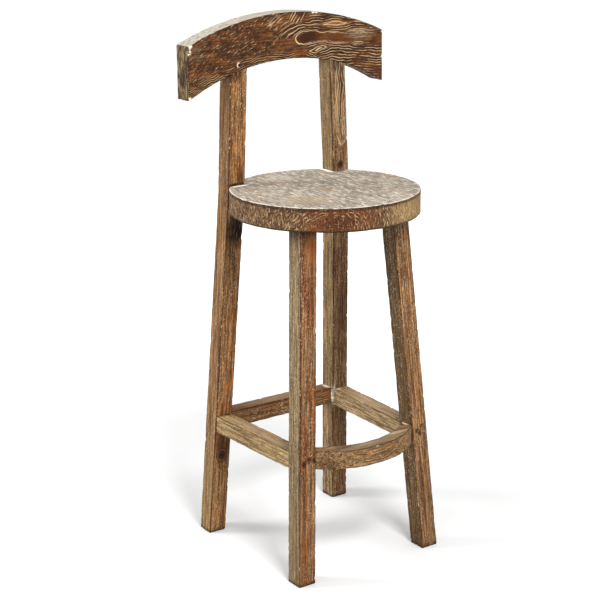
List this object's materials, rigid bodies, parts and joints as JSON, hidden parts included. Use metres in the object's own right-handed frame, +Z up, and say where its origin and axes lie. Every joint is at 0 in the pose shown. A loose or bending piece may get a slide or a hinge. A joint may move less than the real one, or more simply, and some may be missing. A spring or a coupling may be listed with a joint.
{
  "type": "bar stool with footrest",
  "caption": "Tall rustic hardwood bar stool: round seat, splayed square legs, curved footrest and an arched back rail on two posts, pegged and limed.",
  "frame": {"origin": "on the floor, at the middle of the overall box", "axes": "+Z up; -Y towards the front, the side with the curved footrest; +X to the right seen from the front"},
  "size_m": [0.466, 0.3946, 1.0805],
  "materials": {
    "frame_wood": "reclaimed hardwood, brushed open grain, limed and waxed matt",
    "crest_wood": "flat-sawn reclaimed hardwood, open grain filled with pale lime, waxed matt",
    "seat_wood": "weathered hardwood, heavily limed top, sanded smooth, matt",
    "peg_wood": "riven hardwood, end grain darkened, matt",
    "screw_steel": "plain zinc-plated"
  },
  "bodies": {
    "root": {"crest_rail": "crest_wood", "back_leg_left": "frame_wood", "back_leg_right": "frame_wood", "front_leg_left": "frame_wood", "front_leg_right": "frame_wood", "seat_board_left": "seat_wood", "seat_board_middle": "seat_wood", "seat_board_right": "seat_wood", "footrest_front": "frame_wood", "stretcher_left": "frame_wood", "stretcher_right": "frame_wood", "stretcher_back": "frame_wood", "crest_peg_left": "peg_wood", "crest_peg_right": "peg_wood", "footrest_peg_left": "peg_wood", "footrest_peg_right": "peg_wood", "side_peg_left": "peg_wood", "side_peg_right": "peg_wood", "back_peg_left": "peg_wood", "back_peg_right": "peg_wood", "seat_dowels": "peg_wood", "seat_screw_plugs": "peg_wood", "seat_screws": "screw_steel"}
  },
  "joints": []
}
